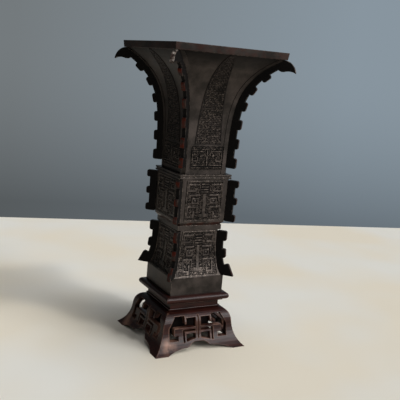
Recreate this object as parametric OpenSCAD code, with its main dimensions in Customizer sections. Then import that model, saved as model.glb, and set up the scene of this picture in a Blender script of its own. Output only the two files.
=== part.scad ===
// Square flanged bronze zun, standing loose in the recess of a carved hardwood stand.
// Millimetres, +Z up, origin on the ground under the middle of the stand.
// The front is -Y and the left is -X. Corners and sides are counted anticlockwise from above.

/* [Mouth] */
// Side of the square mouth across the top of the lip
lip_w = 121; // [112:1:130]
// Height of the plain lip band
lip_h = 6.7; // [4:0.1:9]
// How far the lip band leans in from its top edge to its bottom edge
lip_lean = 0.8; // [0:0.1:2]
// Width of the flat rim on top of the lip
rim_w = 3.4; // [2:0.1:5]
// How far the neck tucks in under the lip
lip_overhang = 1.2; // [0.4:0.1:3]

/* [Neck] */
// Height of the flared neck
neck_h = 116.3; // [100:0.1:130]
// Side of the neck at its bottom
neck_w = 50; // [47:0.5:53]
// How far each face leans out over the height of the neck, apart from the flare
neck_lean = 2; // [0:0.1:4]
// Power of the flare: a larger one keeps the neck slender for longer
neck_power = 5; // [3:0.5:6]
// Step from the neck's face in to its spigot
spigot_step = 1.6; // [1:0.1:2]

/* [Belly] */
// Height of the belly between its chamfer and its shoulder moulding
belly_h = 44.1; // [38:0.1:52]
// Side of the belly below its shoulder
belly_w = 56; // [54:0.5:60]
// How much narrower each belly face stands at its bottom
belly_taper = 0.5; // [0:0.1:1]
// Height of the chamfer under the belly
belly_chamfer_h = 3.5; // [2.5:0.1:5]
// Height of the shoulder moulding
shoulder_h = 4.4; // [3:0.1:6]
// How far the shoulder moulding stands out of the belly
shoulder_out = 0.8; // [0.5:0.1:1.5]
// Height of the groove round the middle of the shoulder moulding
shoulder_groove_h = 1; // [0.6:0.1:1.4]
// Depth of that groove
shoulder_groove_d = 0.7; // [0.3:0.1:1]

/* [Foot] */
// Height of the collar between belly and foot
collar_h = 5; // [3:0.1:7]
// Side of the collar
collar_w = 49; // [48:0.5:52]
// Height of the splayed foot
foot_h = 47.5; // [40:0.1:56]
// Side of the foot at its top
foot_w = 47; // [44.5:0.5:47.5]
// Power of the splay: a larger one keeps the foot straight for longer
foot_power = 4.5; // [3:0.5:6]
// Height of the plain plinth skirt under the foot
plinth_h = 19.5; // [12:0.1:26]
// Side of the plinth skirt
plinth_w = 59; // [56:0.5:62]
// Side of the spigot on top of the foot
foot_spigot_w = 43; // [40:0.5:44]
// Thickness of the floor plate inside the belly
floor_t = 3; // [2:0.1:5]

/* [Relief] */
// How far the masks and their frames stand out of the belly and the foot
relief = 0.8; // [0.4:0.1:1.2]
// Width of the frame line round a mask
frame_line = 1.2; // [0.8:0.1:2]
// Width of the framed panel on the belly
belly_panel_w = 41; // [36:0.5:44]
// Bare strip above and below the belly panel
belly_panel_gap = 1.6; // [1:0.1:4]
// Width of the framed panel on the foot at its top
foot_panel_w = 37; // [32:0.5:39]
// How much wider the foot panel gets on each side towards its bottom
foot_panel_spread = 5.2; // [2:0.1:7]
// Bare strip above the foot panel
foot_panel_gap = 1; // [0.5:0.1:4]

/* [Cast walls] */
// Thickness of the cast bronze walls
wall = 3; // [2.4:0.1:3.6]
// Play of a spigot or a plate in its seat, on each side
spigot_clear = 0.1; // [0.05:0.01:0.3]
// Thickness of the solder film under a flange
solder_gap = 0.1; // [0.05:0.01:0.3]

/* [Flanges] */
// Thickness of the corner flanges and of the flats they are set on
flange_t = 4; // [3:0.1:5]
// How far the strip between two teeth stands out of the corner
strip_rise = 5.2; // [4:0.1:7]
// How far a tooth stands out of the corner
tooth_rise = 8.6; // [7.5:0.1:11]
// Teeth on a neck flange, below its hook
neck_teeth = 6; // [4:1:8]
// Length of the notches between the teeth on the neck
neck_notch = 9.2; // [6:0.1:11]
// Bare corner under a neck flange
neck_bare = 6.6; // [2:0.1:12]
// How much further the belly flanges stand out than the others
belly_extra = 0.8; // [0:0.1:1.5]
// Teeth on a belly flange
belly_teeth = 3; // [2:1:4]
// Length of the notches between the teeth on the belly
belly_notch = 10.2; // [5:0.1:11]
// Bare corner above and below a belly flange
belly_bare = 0.8; // [0.4:0.1:3]
// Teeth on a foot flange, above its spur
foot_teeth = 2; // [1:1:3]
// Length of the notches between the teeth on the foot
foot_notch = 8.4; // [6:0.1:9]
// Bare corner above a foot flange
foot_bare = 1; // [0.4:0.1:3]

/* [Hooks] */
// How far the hook under a mouth corner reaches out of its root
hook_r = 12.2; // [11:0.1:15]
// How far the hook hangs below the lip
hook_drop = 11.3; // [8:0.1:11.4]
// How far the root of the hook stands inside the lip's corner
hook_inset = 3.1; // [1:0.1:5]
// How far the tip of the hook points down below its heel
hook_tip = 1; // [0:0.1:2]
// How far the underside of the hook is hollowed out
hook_hollow = 1.4; // [0:0.1:3]
// Length of the flat heel behind the hook
hook_heel = 2.1; // [1:0.1:4]
// Length of the corner that the hook grows from
hook_root = 11; // [8:0.1:14]
// How far the spur reaches out of the plinth's corner
spur_reach = 10.8; // [9:0.1:14]
// Length of the corner that the spur grows from
spur_root = 10.5; // [8:0.1:14]
// How far the root of the spur stands out of the corner
spur_rise = 10.6; // [9:0.1:13]

/* [Stand top] */
// Width of the edge rails, from the recess out to the rounded edge
edge_w = 5.6; // [5:0.1:9]
// Height of the mitred edge rails
rail_h = 8.5; // [7.5:0.1:10]
// Radius of the rounded edge
nose_r = 3.5; // [2.5:0.1:3.7]
// How far the fillet under the rounded edge stands back from the rounding's middle
fillet_back = 1.2; // [0.2:0.1:1.6]
// Depth of the recess that the plinth stands in
recess_d = 1.5; // [0.8:0.1:2.2]
// Play of the plinth in the recess, on each side
seat_clear = 0.4; // [0.2:0.05:0.8]
// Depth of the tongue round the top panel
tongue_d = 2; // [1:0.1:2.4]
// Thickness of the tongue
tongue_t = 2.4; // [1.6:0.1:3]

/* [Stand waist] */
// Height of the waist between the side boards and the top
waist_h = 7.7; // [6:0.1:11]
// How far the waist stands in from the recess
waist_in = 2.4; // [1.5:0.1:4]
// Thickness of the waist rails
waist_t = 5.5; // [5:0.1:7]
// Height of the bead along the bottom of the waist
bead_h = 2.2; // [1.6:0.1:3]
// How far the bead stands out of the waist
bead_out = 1.4; // [1.2:0.1:2]
// Diameter of the dowels between waist and top
dowel_d = 3; // [2:0.1:3.6]
// Length of the dowels
dowel_l = 8; // [6:0.1:9]
// Play round a dowel in its hole
dowel_clear = 0.05; // [0.02:0.01:0.1]

/* [Stand side boards] */
// Height of the openwork side boards from the ground
board_h = 38.3; // [36:0.1:44]
// How far the tops of the side boards stand out of the waist
board_step = 0.5; // [0:0.1:1.5]
// How far the knees of the legs stand out of the waist
knee_out = 11.4; // [10:0.1:14]
// Height of the knees
knee_z = 26; // [24:0.1:27]
// How far the toes stand out of the knees
toe_out = 12.1; // [9:0.1:16]
// How far a leg leans out as it passes the knee
knee_lean = 0.9; // [0.4:0.1:1.6]
// Length of the nearly upright run above the knee
knee_rise = 8.1; // [7:0.1:9]
// Length of the nearly upright run below the knee
knee_fall = 10; // [7:0.1:12]
// How far a toe sweeps out
toe_sweep = 8.5; // [6:0.1:10]
// Height at which the toe starts to sweep out
toe_sweep_z = 6.5; // [4:0.1:8]
// Thickness of the boards at the knee
board_t = 5; // [4:0.1:6]
// Depth of a toe on the ground, from its tip inwards
toe_t = 6.5; // [4:0.1:9]
// Length of the ground contact of each half leg
toe_l = 12; // [9:0.5:16]
// Play in the glued mitres, square to the mitre
mitre_gap = 0.1; // [0.05:0.01:0.3]
// Length of a corner block along each side
block_w = 9; // [6:0.1:11]
// How far the corner blocks reach down behind the side boards
block_drop = 4; // [2:0.1:4.3]
// Thickness of the boards of the lining behind the openwork
lining_t = 2.4; // [2:0.1:4]
// Height of the lower edge of the lining
lining_z = 10; // [9.6:0.1:14]

/* [Stand openwork] */
// Height of the rail left above the openwork
fret_rail = 3.8; // [3.4:0.1:5]
// Height of the top of the apron at the middle post
apron_z = 12; // [11.4:0.1:12.8]
// How far the top of the apron falls from the post to the scroll
apron_fall = 3; // [0:0.1:4]
// Height of the arch under the middle of a board
arch_z = 9.2; // [7:0.1:9.6]
// Width of the middle of the arch
arch_w = 7; // [5:0.5:10]
// Width across the shoulders of the arch
arch_shoulder_w = 30; // [24:0.5:34]
// Height of the shoulders of the arch
arch_shoulder_z = 4.6; // [3:0.1:5]
// Length over which the arch rises off a toe
arch_run = 6; // [3:0.1:9]
// Width of the middle post
post_w = 6; // [4:0.1:8]
// Width of the slot that splits the middle post
post_slot_w = 1; // [0.6:0.1:1.6]
// Thickness of the thin bars
bar_t = 1.9; // [1.6:0.1:2.2]
// Width of the openings beside the post
panel_hole_w = 10.4; // [9:0.1:11.4]
// Height of the lower opening at the post
low_hole_h = 5; // [4.2:0.1:5.6]
// Height of the middle opening beside the post
mid_hole_h = 2.4; // [1.8:0.1:3]
// Length of the hook that hangs from the rail
stem_l = 8; // [5:0.1:8.6]
// Width of the slit beside a scroll
slit_w = 1.8; // [1.2:0.1:2.4]
// Width of a scroll
curl_w = 10.2; // [9:0.1:11]
// Width of a scroll's stalk
stalk_w = 5.6; // [4:0.1:7]
// Width of the opening that loops round a scroll
loop_w = 5.2; // [4:0.1:5.8]
// Height of the opening under the head of a scroll
loop_h = 4.6; // [3:0.1:5.4]
// How far the loop's floor lies below the top of the apron
loop_drop = 0.8; // [0:0.1:1.6]
// Width of the cut across the outer upper corner of the loop
loop_cut_w = 6.6; // [3:0.1:8]
// Height of that cut
loop_cut_h = 11; // [5:0.1:12]

/* [Hidden] */
$fn = 64;
curve_steps = 20;
bend_steps = 8;
cut_over = 1;
diagonal = sqrt(2);

BRONZE = "#4a4038";
BRONZE_EDGE = "#5a4636";
HARDWOOD = "#4a241c";
HARDWOOD_INNER = "#6a4632";

CORNERS = ["front_left", "front_right", "back_right", "back_left"];
SIDES = ["front", "right", "back", "left"];
function named(part, places) = [for (place = places) str(part, "_", place)];

// Heights of the seats, from the ground up
waist_z = board_h;
top_z = waist_z + waist_h;
seat_z = top_z + rail_h - recess_d;
foot_z = seat_z + plinth_h;
collar_z = foot_z + foot_h;
belly_z = collar_z + collar_h;
drum_z = belly_z + belly_chamfer_h;
shoulder_z = drum_z + belly_h;
neck_z = shoulder_z + shoulder_h;
lip_z = neck_z + neck_h;

// Half sides shared by pieces that seat on each other
lip_low_half = lip_w / 2 - lip_lean;
neck_half = neck_w / 2;
neck_top_half = lip_low_half - lip_overhang;
neck_spigot_half = neck_half - spigot_step;
belly_low_half = belly_w / 2 - belly_taper;
foot_spigot_half = foot_spigot_w / 2;
cavity_half = belly_w / 2 - wall;
recess_half = plinth_w / 2 + seat_clear;
waist_half = recess_half - waist_in;
frame_inner_half = waist_half - waist_t;
knee_half = waist_half + knee_out;
toe_half = knee_half + toe_out;
stand_reach = 2 * toe_half;
neck_flare = neck_top_half - neck_half - neck_lean;
foot_splay = (plinth_w - foot_w) / 2;

// Half side of the neck and of the foot, and how fast it grows with height.
// The place runs from 0 at the slender end to 1 at the wide end.
function neck_face(p) = neck_half + neck_lean * p + neck_flare * pow(p, neck_power);
function neck_slope(p) = (neck_lean + neck_power * neck_flare * pow(p, neck_power - 1)) / neck_h;
function foot_face(p) = foot_w / 2 + foot_splay * pow(p, foot_power);
function foot_slope(p) = -foot_power * foot_splay * pow(p, foot_power - 1) / foot_h;
function neck_height(p) = neck_z + neck_h * p;
function foot_height(p) = collar_z - foot_h * p;

PLACES = [for (i = [0 : curve_steps]) i / curve_steps];
// Fewer places for the relief on the foot, closest where the foot bends most
RELIEF_PLACES = [1, 0.9, 0.75, 0.55, 0.3, 0];
neck_outer = [for (p = PLACES) [neck_face(p), neck_height(p)]];
foot_outer = [for (p = PLACES) [foot_face(p), foot_height(p)]];

// A point of a face moved square to it, outwards when the distance is positive
function moved(point, slope, distance) =
    point + distance / sqrt(1 + slope * slope) * [1, -slope];
neck_inner = [for (i = [0 : curve_steps]) moved(neck_outer[i], neck_slope(PLACES[i]), -wall)];
foot_inner = [for (i = [0 : curve_steps]) moved(foot_outer[i], foot_slope(PLACES[i]), -wall)];

// Half side of the neck's hollow where it meets the lip
neck_mouth_half = lookup(lip_z, [for (point = neck_inner) [point.y, point.x]]);

// A corner point of the neck or foot, seen in the upright plane through two corners
function corner_point(half, height, slope, rise) =
    moved([half * diagonal, height], slope * diagonal, rise);
function neck_corner(p, rise) = corner_point(neck_face(p), neck_height(p), neck_slope(p), rise);
function foot_corner(p, rise) = corner_point(foot_face(p), foot_height(p), foot_slope(p), rise);

// Lengths along a corner, paired with their places, so that teeth are spaced along the curve
function run(points) =
    [for (i = 0, length = 0; i < len(points);
          length = length + (i + 1 < len(points) ? norm(points[i + 1] - points[i]) : 0), i = i + 1) length];
function place_table(points) =
    let (lengths = run(points)) [for (i = [0 : curve_steps]) [lengths[i], PLACES[i]]];
neck_table = place_table([for (p = PLACES) neck_corner(p, 0)]);
foot_table = place_table([for (p = PLACES) foot_corner(p, 0)]);
function neck_place(length) = lookup(length, neck_table);
function foot_place(length) = lookup(length, foot_table);
neck_corner_l = neck_table[curve_steps][0];
foot_corner_l = foot_table[curve_steps][0];

// Root of a flange: the flat on the corner, a solder film away
function root_point(half, height) = [half * diagonal - flange_t / 2 + solder_gap, height];

// Bezier curve through its first and last point
function bezier(a, b, c, d) =
    [for (i = [0 : bend_steps]) let (t = i / bend_steps, s = 1 - t)
        s * s * s * a + 3 * s * s * t * b + 3 * s * t * t * c + t * t * t * d];
function reversed(points) = [for (i = [len(points) - 1 : -1 : 0]) points[i]];
function mirrored(points) = [for (point = reversed(points)) [-point.x, point.y]];

// Solid with one upright profile on two opposite faces
module two_faced(profile, across) {
    rotate([90, 0, 0])
        linear_extrude(height = 2 * across, center = true)
            polygon(concat(profile, mirrored(profile)));
}

// Square solid with the same upright profile on all four faces
module four_faced(profile) {
    across = max([for (point = profile) point.x]) + cut_over;
    intersection() {
        two_faced(profile, across);
        rotate([0, 0, 90]) two_faced(profile, across);
    }
}

// Cuts the four corners back to the flats that the flanges are set on
module with_corner_flats(profile) {
    across = diagonal * max([for (point = profile) point.x]);
    intersection() {
        children();
        for_diagonals(profile, across);
    }
}

module for_diagonals(profile, across) {
    intersection() {
        rotate([0, 0, 45]) two_faced(profile, across);
        rotate([0, 0, -45]) two_faced(profile, across);
    }
}

function flat_profile(points) =
    [for (point = points) [point.x * diagonal - flange_t / 2, point.y]];

function sharp_profile(points) = [for (point = points) [point.x * diagonal + cut_over, point.y]];

// Square block between two heights
module block(half, low, high) {
    translate([-half, -half, low]) cube([2 * half, 2 * half, high - low]);
}

// Places a piece made in the X and Z plane on one of the four corners
module on_corner(corner) {
    rotate([0, 0, 225 + 90 * corner])
        rotate([90, 0, 0])
            linear_extrude(height = flange_t, center = true)
                children();
}

// Outlines of a mask about the middle of a panel of 40 by 40: the nose, and the right half of the rest
NOSE = [[-1.7, 7], [-1.7, -12.6], [-5.2, -12.6], [-5.2, -15.8], [5.2, -15.8], [5.2, -12.6], [1.7, -12.6], [1.7, 7]];
EYE = [[6.2, -2.8], [14, -2.8], [14, 3.2], [6.2, 3.2]];
EYE_HOLLOW = [[7.7, -1.3], [12.5, -1.3], [12.5, 1.7], [7.7, 1.7]];
BROW = [[5, 5], [15, 5], [15, 0.4], [16.6, 0.4], [16.6, 6.6], [5, 6.6]];
HORN = [[6.6, 15.4], [17, 15.4], [17, 10.8], [11.2, 10.8], [11.2, 13.2], [9.6, 13.2], [9.6, 9.2], [18.6, 9.2],
        [18.6, 17], [6.6, 17]];
JAW = [[6.4, -12], [8, -12], [8, -6.6], [17, -6.6], [17, -15.2], [11.8, -15.2], [11.8, -10], [10.2, -10],
       [10.2, -16.8], [18.6, -16.8], [18.6, -5], [6.4, -5]];

// Mask about a middle height, stretched to a width and a height
module mask(width, height, middle) {
    translate([0, middle])
        scale([width / 40, height / 40]) {
            polygon(NOSE);
            for (hand = [0, 1])
                mirror([hand, 0]) {
                    polygon(BROW);
                    polygon(HORN);
                    polygon(JAW);
                    difference() {
                        polygon(EYE);
                        polygon(EYE_HOLLOW);
                    }
                }
        }
}

// Frame line inside a panel that may be wider at its bottom
module frame(low, high, low_half, high_half) {
    difference() {
        polygon([[-low_half, low], [low_half, low], [high_half, high], [-high_half, high]]);
        polygon([[frame_line - low_half, low + frame_line], [low_half - frame_line, low + frame_line],
                 [high_half - frame_line, high - frame_line], [frame_line - high_half, high - frame_line]]);
    }
}

// Raises a pattern on the four faces: it runs from inside the wall out to a profile that is already moved out
module raised_on_faces(inner, outer) {
    reach = max([for (point = outer) point.x]) + cut_over;
    sheet = concat(outer, reversed(inner));
    for (side = [0 : 3])
        rotate([0, 0, 90 * side])
            intersection() {
                rotate([90, 0, -90]) linear_extrude(height = 2 * reach, center = true) polygon(sheet);
                rotate([90, 0, 0]) linear_extrude(height = reach) children();
            }
}

// Mouth

module mouth_lip() {
    outer = [[lip_low_half, lip_z], [lip_w / 2, lip_z + lip_h]];
    rim_half = lip_w / 2 - rim_w;
    fall = (rim_half - neck_mouth_half) / lip_h;
    inner = [[neck_mouth_half - fall * cut_over, lip_z - cut_over],
             [rim_half + fall * cut_over, lip_z + lip_h + cut_over]];
    color(BRONZE)
        difference() {
            four_faced(outer);
            four_faced(inner);
        }
}

// Neck

module neck_shell() {
    cavity = concat([[neck_half - wall, shoulder_z - cut_over]], neck_inner);
    color(BRONZE)
        difference() {
            union() {
                with_corner_flats(flat_profile(neck_outer)) four_faced(neck_outer);
                block(neck_spigot_half, shoulder_z, neck_z + wall);
            }
            four_faced(cavity);
        }
}

module neck_flange(corner) {
    start = neck_place(neck_bare);
    hook_start = neck_place(neck_corner_l - hook_root);
    pitch = (neck_corner_l - hook_root - neck_bare) / neck_teeth;
    inside = [for (p = PLACES) if (p > start) root_point(neck_face(p), neck_height(p))];
    teeth = [for (i = [0 : neck_teeth - 1])
        each let (low = neck_place(neck_bare + i * pitch),
                  high = neck_place(neck_bare + (i + 1) * pitch - neck_notch))
            [neck_corner(low, i == 0 ? 0 : strip_rise), neck_corner(low, tooth_rise),
             neck_corner(high, tooth_rise), neck_corner(high, strip_rise)]];
    hook_x = lip_low_half * diagonal - hook_inset;
    hook_top = lip_z - solder_gap;
    hook_z = lip_z - hook_drop;
    hook_end = [hook_x + hook_r, hook_z - hook_tip];
    color(BRONZE_EDGE)
        on_corner(corner)
            polygon(concat(
                [root_point(neck_face(start), neck_height(start))], teeth,
                [neck_corner(hook_start, strip_rise), [hook_x - hook_heel, hook_z]],
                bezier([hook_x, hook_z], [hook_x + 0.3 * hook_r, hook_z + hook_hollow],
                       [hook_x + 0.75 * hook_r, hook_z + hook_hollow], hook_end),
                bezier(hook_end, [hook_x + 0.95 * hook_r, hook_z + 0.45 * hook_drop],
                       [hook_x + 0.52 * hook_r, hook_top], [hook_x, hook_top]),
                [[root_point(neck_face(1), 0).x, hook_top]],
                reversed([for (point = inside) if (point.y < hook_top) point])));
}

// Belly

belly_drum = [[collar_w / 2, belly_z], [belly_low_half, drum_z], [belly_w / 2, shoulder_z]];
shoulder_half = belly_w / 2 + shoulder_out;
groove_half = shoulder_half - shoulder_groove_d;
groove_low = shoulder_z + (shoulder_h - shoulder_groove_h) / 2;
groove_high = groove_low + shoulder_groove_h;
shoulder = [[shoulder_half, shoulder_z], [shoulder_half, groove_low], [groove_half, groove_low],
            [groove_half, groove_high], [shoulder_half, groove_high], [shoulder_half, neck_z]];

module belly_shell() {
    low = drum_z + belly_panel_gap;
    high = shoulder_z - belly_panel_gap;
    color(BRONZE) {
        difference() {
            with_corner_flats(concat(flat_profile(belly_drum), sharp_profile(shoulder)))
                four_faced(concat(belly_drum, shoulder));
            block(cavity_half, drum_z, shoulder_z);
            block(neck_spigot_half + spigot_clear, shoulder_z - cut_over, neck_z + cut_over);
            block(foot_spigot_half + spigot_clear, belly_z - cut_over, drum_z + cut_over);
        }
        raised_on_faces([[belly_low_half - relief, drum_z], [belly_w / 2 - relief, shoulder_z]],
                        [[belly_low_half + relief, drum_z], [belly_w / 2 + relief, shoulder_z]]) {
            frame(low, high, belly_panel_w / 2, belly_panel_w / 2);
            mask(belly_panel_w, high - low, (low + high) / 2);
        }
    }
}

module belly_flange(corner) {
    length = belly_h - 2 * belly_bare;
    slope = belly_taper / belly_h;
    tooth_l = (length - (belly_teeth - 1) * belly_notch) / belly_teeth;
    function half_at(z) = belly_low_half + slope * (z - drum_z);
    function edge_at(z, rise) = corner_point(half_at(z), z, slope, rise);
    low = drum_z + belly_bare;
    high = shoulder_z - belly_bare;
    teeth = [for (i = [0 : belly_teeth - 1])
        each let (start = low + i * (tooth_l + belly_notch), end = start + tooth_l)
            [if (i > 0) edge_at(start, strip_rise + belly_extra), edge_at(start, tooth_rise + belly_extra),
             edge_at(end, tooth_rise + belly_extra),
             if (i < belly_teeth - 1) edge_at(end, strip_rise + belly_extra)]];
    color(BRONZE_EDGE)
        on_corner(corner)
            polygon(concat([root_point(half_at(low), low)], teeth, [root_point(half_at(high), high)]));
}

module floor_plate() {
    color(BRONZE) block(cavity_half - spigot_clear, drum_z, drum_z + floor_t);
}

// Foot

module foot_shell() {
    low = foot_z + relief;
    high = collar_z - foot_panel_gap;
    skirt = [[plinth_w / 2, seat_z], [plinth_w / 2, foot_z]];
    foot_up = reversed(foot_outer);
    collar = [[collar_w / 2, collar_z], [collar_w / 2, belly_z]];
    hollow = concat([[plinth_w / 2 - wall, seat_z - cut_over], [plinth_w / 2 - wall, foot_z]],
                    [for (point = reversed(foot_inner)) if (point.y > foot_z) point],
                    [[foot_spigot_half - wall, belly_z], [foot_spigot_half - wall, drum_z + cut_over]]);
    function face_moved(distance) =
        [for (p = RELIEF_PLACES) moved([foot_face(p), foot_height(p)], foot_slope(p), distance)];
    color(BRONZE) {
        difference() {
            union() {
                with_corner_flats(concat(sharp_profile(skirt), flat_profile(foot_up), sharp_profile(collar)))
                    four_faced(concat(skirt, foot_up, collar));
                block(foot_spigot_half, collar_z, drum_z);
            }
            four_faced(hollow);
        }
        raised_on_faces(face_moved(-relief), face_moved(relief)) {
            frame(low, high, foot_panel_w / 2 + foot_panel_spread, foot_panel_w / 2);
            mask(foot_panel_w, high - low, (low + high) / 2);
        }
    }
}

module foot_flange(corner) {
    start = foot_place(foot_bare);
    spur_start = foot_place(foot_corner_l - spur_root);
    pitch = (foot_corner_l - spur_root - foot_bare) / foot_teeth;
    low = foot_z + solder_gap;
    inside = [for (p = PLACES) if (p > start) root_point(foot_face(p), foot_height(p))];
    teeth = [for (i = [0 : foot_teeth - 1])
        each let (high_end = foot_place(foot_bare + i * pitch),
                  low_end = foot_place(foot_bare + (i + 1) * pitch - foot_notch))
            [if (i > 0) foot_corner(high_end, strip_rise), foot_corner(high_end, tooth_rise),
             foot_corner(low_end, tooth_rise), foot_corner(low_end, strip_rise)]];
    color(BRONZE_EDGE)
        on_corner(corner)
            polygon(concat(
                [root_point(foot_face(start), foot_height(start))], teeth,
                [foot_corner(spur_start, strip_rise), foot_corner(spur_start, spur_rise),
                 [plinth_w / 2 * diagonal + spur_reach, low], [root_point(foot_face(1), 0).x, low]],
                reversed([for (point = inside) if (point.y > low) point])));
}

// Stand top

tongue_z = top_z + (rail_h - recess_d - tongue_t) / 2;

module top_panel() {
    panel_half = recess_half - mitre_gap;
    color(HARDWOOD)
        difference() {
            union() {
                block(panel_half, top_z, seat_z);
                block(panel_half + tongue_d, tongue_z, tongue_z + tongue_t);
            }
            dowel_holes();
        }
}

// Keeps the part of a frame member that lies between the mitres on the front side
module mitred(side) {
    rotate([0, 0, 90 * side])
        intersection() {
            children();
            linear_extrude(height = top_z + rail_h + cut_over)
                polygon([[0, -mitre_gap / diagonal], [-stand_reach, -mitre_gap / diagonal - stand_reach],
                         [stand_reach, -mitre_gap / diagonal - stand_reach]]);
        }
}

// Runs a profile, drawn as distance out and height, along the front side
module front_run() {
    rotate([90, 0, -90])
        linear_extrude(height = 2 * stand_reach, center = true)
            children();
}

module edge_rail(side) {
    nose_x = recess_half + edge_w - nose_r;
    nose_z = top_z + rail_h - nose_r;
    groove_t = tongue_t + 2 * mitre_gap;
    color(HARDWOOD)
        mitred(side)
            front_run()
                difference() {
                    union() {
                        translate([recess_half, nose_z - nose_r]) square([nose_x - recess_half, 2 * nose_r]);
                        translate([nose_x, nose_z]) circle(r = nose_r);
                        translate([recess_half, top_z])
                            square([nose_x - fillet_back - recess_half, rail_h - nose_r]);
                    }
                    translate([recess_half - nose_r, top_z]) square([nose_r, rail_h]);
                    translate([recess_half - cut_over, tongue_z - mitre_gap])
                        square([tongue_d + cut_over + mitre_gap, groove_t]);
                }
}

// Stand waist

module waist_rail(side) {
    bead_r = bead_h / 2;
    bead_x = waist_half + bead_out - bead_r;
    color(HARDWOOD)
        difference() {
            mitred(side)
                front_run() {
                    translate([frame_inner_half, waist_z]) square([waist_t, waist_h]);
                    translate([frame_inner_half, waist_z]) square([bead_x - frame_inner_half, bead_h]);
                    translate([bead_x, waist_z + bead_r]) circle(r = bead_r);
                }
            dowel_holes();
        }
}

// Pins or holes in the middle of the waist rails, half in the waist and half in the panel
module dowel_set(d, length) {
    ring = waist_half - waist_t / 2;
    for (side = [0 : 3])
        rotate([0, 0, 90 * side])
            translate([0, -ring, top_z]) cylinder(d = d, h = length, center = true);
}

module dowel_holes() {
    dowel_set(dowel_d + 2 * dowel_clear, dowel_l + 2 * dowel_clear);
}

module dowels() {
    color(HARDWOOD_INNER) dowel_set(dowel_d, dowel_l);
}

// Stand side boards

board_top_half = waist_half + board_step;
knee_inner_half = knee_half - board_t;
block_z = board_h - block_drop;
board_outer = concat(
    bezier([board_top_half, board_h], [(board_top_half + knee_half) / 2, board_h],
           [knee_half - knee_lean, knee_z + knee_rise], [knee_half, knee_z]),
    bezier([knee_half, knee_z], [knee_half + knee_lean, knee_z - knee_fall],
           [toe_half - toe_sweep, toe_sweep_z], [toe_half, 0]));
board_inner = concat(
    bezier([toe_half - toe_t, 0], [toe_half - toe_t - toe_sweep, toe_sweep_z],
           [knee_inner_half + knee_lean, knee_z - knee_fall], [knee_inner_half, knee_z]),
    bezier([knee_inner_half, knee_z], [knee_inner_half, board_h - 2 * board_t],
           [(frame_inner_half + knee_inner_half) / 2, block_z], [frame_inner_half, block_z]));

// Half of the arch cut out under a board, from a toe up to the middle
arch_toe_x = toe_half - toe_l;
arch_shoulder_x = arch_shoulder_w / 2;
arch_bend_x = (arch_shoulder_w + arch_w) / 4;
arch_half = concat(
    bezier([arch_toe_x, -cut_over], [arch_toe_x - arch_run, arch_shoulder_z / 2],
           [arch_shoulder_x + arch_run, arch_shoulder_z], [arch_shoulder_x, arch_shoulder_z]),
    bezier([arch_shoulder_x, arch_shoulder_z], [arch_bend_x, arch_shoulder_z],
           [arch_bend_x, arch_z], [arch_w / 2, arch_z]));

// Openings right of the middle post: one under the lower bar, one between the two bars that runs down beside
// the scroll, and one that hangs from the rail and loops round the scroll's head
module openwork_half() {
    rail_z = board_h - fret_rail;
    post_x = post_w / 2;
    stem_x = post_x + panel_hole_w;
    slit_x = stem_x + bar_t;
    curl_x = slit_x + slit_w;
    stalk_x = curl_x + stalk_w;
    loop_x = curl_x + curl_w;
    leg_x = loop_x + loop_w;
    low_z = apron_z + low_hole_h;
    mid_z = low_z + bar_t;
    mid_top = mid_z + mid_hole_h;
    head_z = mid_top + bar_t;
    loop_z = apron_z - loop_drop;
    function apron_at(x) = apron_z - apron_fall * (x - post_x) / (curl_x - post_x);
    polygon([[post_x, apron_z], [stem_x, apron_at(stem_x)], [stem_x, low_z], [post_x, low_z]]);
    polygon([[post_x, mid_z], [slit_x, mid_z], [slit_x, apron_at(slit_x)], [curl_x, apron_at(curl_x)],
             [curl_x, mid_top], [post_x, mid_top]]);
    polygon([[post_x, head_z], [loop_x - bar_t / 2, head_z], [loop_x, head_z - bar_t / 2],
             [loop_x, loop_z + loop_h], [stalk_x, loop_z + loop_h], [stalk_x, loop_z], [leg_x, loop_z],
             [leg_x, rail_z - loop_cut_h], [leg_x - loop_cut_w, rail_z], [slit_x, rail_z],
             [slit_x, rail_z - stem_l], [stem_x, rail_z - stem_l], [stem_x, rail_z - bar_t],
             [post_x, rail_z - bar_t]]);
}

module side_board(side) {
    color(HARDWOOD)
        mitred(side)
            difference() {
                front_run() polygon(concat(board_outer, board_inner, [[frame_inner_half, board_h]]));
                rotate([90, 0, 0])
                    linear_extrude(height = stand_reach) {
                        openwork_half();
                        mirror([1, 0]) openwork_half();
                        translate([-post_slot_w / 2, apron_z])
                            square([post_slot_w, board_h - fret_rail - apron_z]);
                        polygon(concat(arch_half, mirrored(arch_half)));
                    }
            }
}

// A plain dark board glued under the corner blocks, which closes the view through the openwork
module lining_board(side) {
    color(HARDWOOD_INNER)
        mitred(side)
            front_run()
                translate([frame_inner_half - mitre_gap - lining_t, lining_z])
                    square([lining_t, block_z - lining_z]);
}

module corner_block(corner) {
    seat = frame_inner_half - mitre_gap;
    color(HARDWOOD_INNER)
        translate([0, 0, block_z])
            rotate([0, 0, 90 * corner])
                linear_extrude(height = waist_h + block_drop)
                    polygon([[-seat, -seat], [block_w - seat, -seat], [-seat, block_w - seat]]);
}

mouth_lip();
neck_shell();
belly_shell();
floor_plate();
foot_shell();
top_panel();
dowels();
for (i = [0 : 3]) {
    neck_flange(i);
    belly_flange(i);
    foot_flange(i);
    corner_block(i);
    edge_rail(i);
    waist_rail(i);
    side_board(i);
    lining_board(i);
}
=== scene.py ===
"""Looks of a square flanged bronze zun and its carved hardwood stand, laid out as a Blender add-on."""

import math

import bmesh
import bpy
from bpy.props import FloatProperty, FloatVectorProperty, PointerProperty
from mathutils import Matrix, Vector
from mathutils.bvhtree import BVHTree
from mathutils.kdtree import KDTree


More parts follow.
